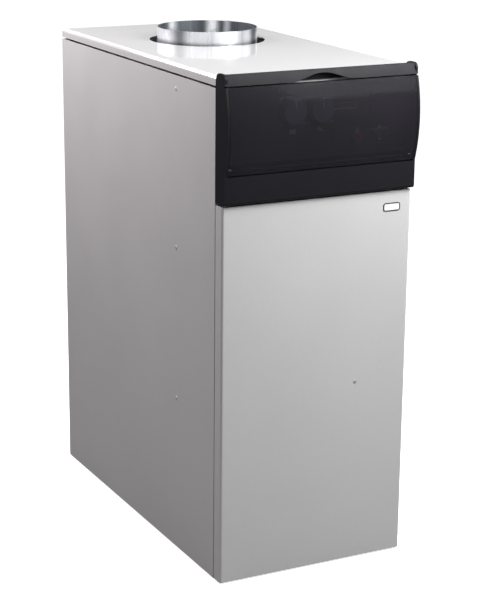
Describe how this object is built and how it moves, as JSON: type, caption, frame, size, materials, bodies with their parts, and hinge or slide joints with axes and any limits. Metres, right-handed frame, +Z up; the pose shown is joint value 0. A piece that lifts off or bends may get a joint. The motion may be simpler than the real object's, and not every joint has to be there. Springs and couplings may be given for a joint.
{
  "type": "floor-standing gas boiler",
  "caption": "Tall narrow floor-standing gas boiler: steel casing, bulged black control panel with a drop-down flap, round flue collar, cast-iron block, burner and pump inside.",
  "frame": {"origin": "on the floor, under the middle of the whole object's box, pipe stubs and flap included", "axes": "+Z up along the height, +X to the right seen from the front, -Y out of the front panel"},
  "size_m": [0.3518, 0.7192, 0.873],
  "materials": {
    "painted_sheet": "satin silver-grey paint with a fine brushed look",
    "top_white": "glossy white enamel",
    "galvanised_sheet": "galvanised sheet, matt",
    "spring_steel": "dark phosphated spring steel",
    "badge_silver": "satin metal with a dark edge",
    "zinc_screws": "zinc plated",
    "mineral_wool": "foil-faced mineral wool",
    "black_plastic": "fine-grained black moulding",
    "smoked_plastic": "dark smoked, slightly translucent moulding",
    "dash_plastic": "fine-grained dark grey moulding",
    "knob_plastic": "satin dark grey moulding",
    "switch_plastic": "gloss dark moulding",
    "reset_plastic": "gloss red moulding",
    "lamp_lens": "tinted clear lens",
    "box_plastic": "grey moulding",
    "circuit_board": "green solder mask",
    "rubber_gland": "black rubber",
    "cast_iron": "sand-cast surface",
    "steel_fittings": "plain steel",
    "flue_steel": "polished stainless steel",
    "aluminised_sheet": "aluminised sheet, slightly heat-stained",
    "burner_steel": "stainless sheet, straw tint from heat",
    "ceramic": "unglazed white ceramic",
    "sight_glass": "clear heat-proof glass in a steel ring",
    "brass": "turned brass",
    "valve_alloy": "die-cast alloy",
    "copper": "drawn copper tube",
    "gas_steel": "yellow painted steel pipe",
    "lever_yellow": "yellow plastic-coated handle",
    "pump_paint": "dark red stoved paint",
    "vessel_red": "red gloss paint",
    "knob_red": "red plastic",
    "gauge_black": "black case with a white dial",
    "needle_red": "red needle"
  },
  "bodies": {
    "boiler": {"base_frame": "galvanised_sheet", "left_side_panel": "painted_sheet", "right_side_panel": "painted_sheet", "back_panel": "galvanised_sheet", "top_panel": "top_white", "casing_screws": "zinc_screws", "front_crossbar": "galvanised_sheet", "insulation_pads": "mineral_wool", "fascia_frame": "black_plastic", "dashboard": "dash_plastic", "indicator_lights": "lamp_lens", "timer_blank_cover": "dash_plastic", "control_box": "box_plastic", "circuit_board": "circuit_board", "cable_glands": "rubber_gland", "front_section": "cast_iron", "middle_section_1": "cast_iron", "middle_section_2": "cast_iron", "middle_section_3": "cast_iron", "rear_section": "cast_iron", "section_nipples": "steel_fittings", "tie_rods": "steel_fittings", "combustion_chamber": "aluminised_sheet", "draught_hood": "aluminised_sheet", "hood_neck": "aluminised_sheet", "flue_collar": "flue_steel", "draught_thermostat": "ceramic", "burner_tube_1": "burner_steel", "burner_tube_2": "burner_steel", "burner_tube_3": "burner_steel", "burner_tube_4": "burner_steel", "burner_front_plate": "aluminised_sheet", "sight_glass": "sight_glass", "gas_manifold": "brass", "injectors": "brass", "electrodes": "ceramic", "gas_valve": "valve_alloy", "gas_pipe": "gas_steel", "gas_cock": "brass", "pump_housing": "pump_paint", "expansion_vessel": "vessel_red", "flow_pipe": "copper", "return_pipe": "copper", "safety_valve": "brass", "pressure_gauge": "gauge_black", "drain_cock": "brass"},
    "front_cover": {"front_panel": "painted_sheet", "front_panel_fixings": "spring_steel", "badge_plate": "badge_silver"},
    "flap": {"flap_door": "smoked_plastic", "flap_hinge_pins": "steel_fittings"},
    "heating_setting": {"heating_knob": "knob_plastic"},
    "hot_water_setting": {"hot_water_knob": "knob_plastic"},
    "rocker": {"power_switch": "switch_plastic"},
    "reset": {"reset_button": "reset_plastic"},
    "rotor": {"pump_rotor": "steel_fittings"},
    "gas_lever": {"gas_cock_lever": "lever_yellow"},
    "relief_knob": {"safety_valve_knob": "knob_red"},
    "needle": {"gauge_needle": "needle_red"}
  },
  "joints": [
    {"name": "flap_hinge", "type": "hinge", "parent": "boiler", "child": "flap", "pos_m": [0, -0.3444, 0.7052], "axis": [1, 0, 0], "range_deg": [0, 95]},
    {"name": "front_panel_slide", "type": "slide", "parent": "boiler", "child": "front_cover", "axis": [0, -1, 0], "range_m": [0, 0.4]},
    {"name": "heating_turn", "type": "hinge", "parent": "boiler", "child": "heating_setting", "pos_m": [-0.05, -0.3404, 0.79], "axis": [0, 1, 0], "range_deg": [-135, 135]},
    {"name": "hot_water_turn", "type": "hinge", "parent": "boiler", "child": "hot_water_setting", "pos_m": [0, -0.3404, 0.79], "axis": [0, 1, 0], "range_deg": [-135, 135]},
    {"name": "switch_rock", "type": "hinge", "parent": "boiler", "child": "rocker", "pos_m": [0.111, -0.3359, 0.739], "axis": [1, 0, 0], "range_deg": [-18, 0]},
    {"name": "reset_press", "type": "slide", "parent": "boiler", "child": "reset", "axis": [0, 1, 0], "range_m": [0, 0.0025], "stiffness_N_per_m": 600, "springref_m": -0.002},
    {"name": "rotor_spin", "type": "hinge", "parent": "boiler", "child": "rotor", "pos_m": [0.082, -0.2524, 0.235], "axis": [0, 1, 0], "continuous": true},
    {"name": "gas_cock_turn", "type": "hinge", "parent": "boiler", "child": "gas_lever", "pos_m": [-0.148, -0.1934, 0.094], "axis": [0, 0, 1], "range_deg": [0, 90]},
    {"name": "relief_turn", "type": "hinge", "parent": "boiler", "child": "relief_knob", "pos_m": [0.1, -0.2784, 0.533], "axis": [0, 0, 1], "range_deg": [0, 90]},
    {"name": "needle_swing", "type": "hinge", "parent": "boiler", "child": "needle", "pos_m": [0.04, -0.3024, 0.5328], "axis": [0, 1, 0], "range_deg": [0, 270], "stiffness_Nm_per_rad": 0.002}
  ]
}
